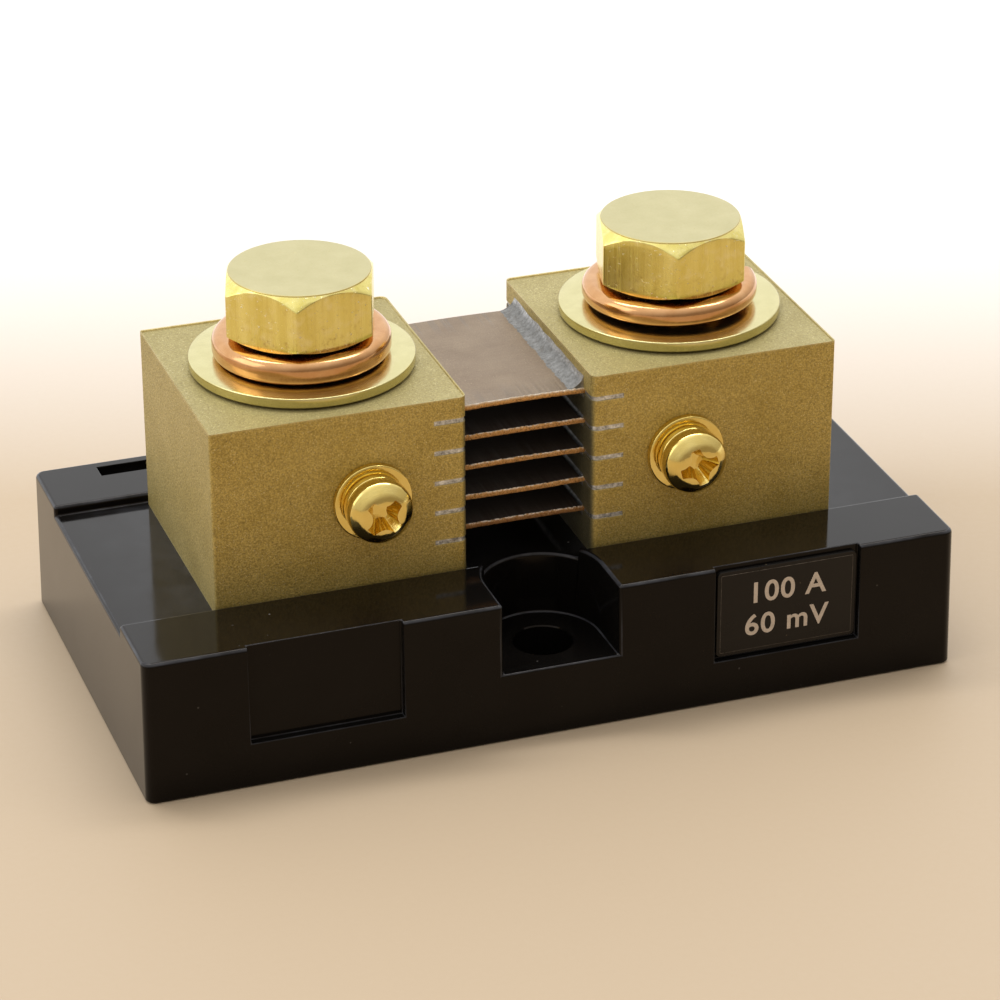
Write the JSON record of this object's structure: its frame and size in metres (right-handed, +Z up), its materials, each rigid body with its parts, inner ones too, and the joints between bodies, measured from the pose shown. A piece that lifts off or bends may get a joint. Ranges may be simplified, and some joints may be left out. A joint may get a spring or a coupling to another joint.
{
  "type": "battery monitor shunt",
  "caption": "Battery current shunt: brass terminal blocks joined by stacked resistor strips on a black moulded base, with hexagon terminal bolts and sense screws.",
  "frame": {"origin": "centre of the base's underside", "axes": "+X along the base's length, towards the rating label's end; +Y towards the rear, away from the sense screws; +Z up, along the terminal bolts"},
  "size_m": [0.083, 0.044, 0.0427],
  "materials": {
    "black_plastic": "glossy moulded",
    "blasted_brass": "grit blasted, matte",
    "resistor_alloy": "oxidised manganin, matte",
    "bolt_brass": "machined, bright",
    "washer_brass": "polished",
    "spring_bronze": "phosphor bronze, polished",
    "screw_brass": "polished",
    "label_black": "satin",
    "zinc_steel": "zinc plated"
  },
  "bodies": {
    "shunt_body": {"base": "black_plastic", "left_block": "blasted_brass", "right_block": "blasted_brass", "resistor_strip_1": "resistor_alloy", "resistor_strip_2": "resistor_alloy", "resistor_strip_3": "resistor_alloy", "resistor_strip_4": "resistor_alloy", "resistor_strip_5": "resistor_alloy", "rating_label": "label_black", "left_front_block_screw": "zinc_steel", "left_front_block_washer": "zinc_steel", "left_rear_block_screw": "zinc_steel", "left_rear_block_washer": "zinc_steel", "right_front_block_screw": "zinc_steel", "right_front_block_washer": "zinc_steel", "right_rear_block_screw": "zinc_steel", "right_rear_block_washer": "zinc_steel"},
    "left_terminal_washers": {"left_terminal_flat_washer": "washer_brass", "left_terminal_lock_washer": "spring_bronze"},
    "left_terminal_bolt": {"left_terminal_bolt": "bolt_brass"},
    "left_sense_washers": {"left_sense_flat_washer": "screw_brass", "left_sense_lock_washer": "screw_brass"},
    "left_sense_screw": {"left_sense_screw": "screw_brass"},
    "right_terminal_washers": {"right_terminal_flat_washer": "washer_brass", "right_terminal_lock_washer": "spring_bronze"},
    "right_terminal_bolt": {"right_terminal_bolt": "bolt_brass"},
    "right_sense_washers": {"right_sense_flat_washer": "screw_brass", "right_sense_lock_washer": "screw_brass"},
    "right_sense_screw": {"right_sense_screw": "screw_brass"}
  },
  "joints": [
    {"name": "left_terminal_bolt_lift", "type": "slide", "parent": "shunt_body", "child": "left_terminal_washers", "axis": [0, 0, 1], "range_m": [0, 0.01124]},
    {"name": "left_terminal_bolt_turn", "type": "hinge", "parent": "left_terminal_washers", "child": "left_terminal_bolt", "pos_m": [-0.01875, 0.0003, 0.03675], "axis": [0, 0, 1], "range_deg": [0, 2550]},
    {"name": "left_sense_screw_lift", "type": "slide", "parent": "shunt_body", "child": "left_sense_washers", "axis": [0, -1, 0], "range_m": [0, 0.00403]},
    {"name": "left_sense_screw_turn", "type": "hinge", "parent": "left_sense_washers", "child": "left_sense_screw", "pos_m": [-0.016, -0.0145, 0.02355], "axis": [0, -1, 0], "range_deg": [0, 1830]},
    {"name": "right_terminal_bolt_lift", "type": "slide", "parent": "shunt_body", "child": "right_terminal_washers", "axis": [0, 0, 1], "range_m": [0, 0.01124]},
    {"name": "right_terminal_bolt_turn", "type": "hinge", "parent": "right_terminal_washers", "child": "right_terminal_bolt", "pos_m": [0.01935, 0.0003, 0.03675], "axis": [0, 0, 1], "range_deg": [0, 2550]},
    {"name": "right_sense_screw_lift", "type": "slide", "parent": "shunt_body", "child": "right_sense_washers", "axis": [0, -1, 0], "range_m": [0, 0.00403]},
    {"name": "right_sense_screw_turn", "type": "hinge", "parent": "right_sense_washers", "child": "right_sense_screw", "pos_m": [0.016, -0.0145, 0.02355], "axis": [0, -1, 0], "range_deg": [0, 1830]}
  ],
  "couplings": [
    {"joint": "left_terminal_bolt_turn", "follows": "left_terminal_bolt_lift", "rad_per_m": 3957.9},
    {"joint": "left_sense_screw_turn", "follows": "left_sense_screw_lift", "rad_per_m": 7915.8},
    {"joint": "right_terminal_bolt_turn", "follows": "right_terminal_bolt_lift", "rad_per_m": 3957.9},
    {"joint": "right_sense_screw_turn", "follows": "right_sense_screw_lift", "rad_per_m": 7915.8}
  ]
}
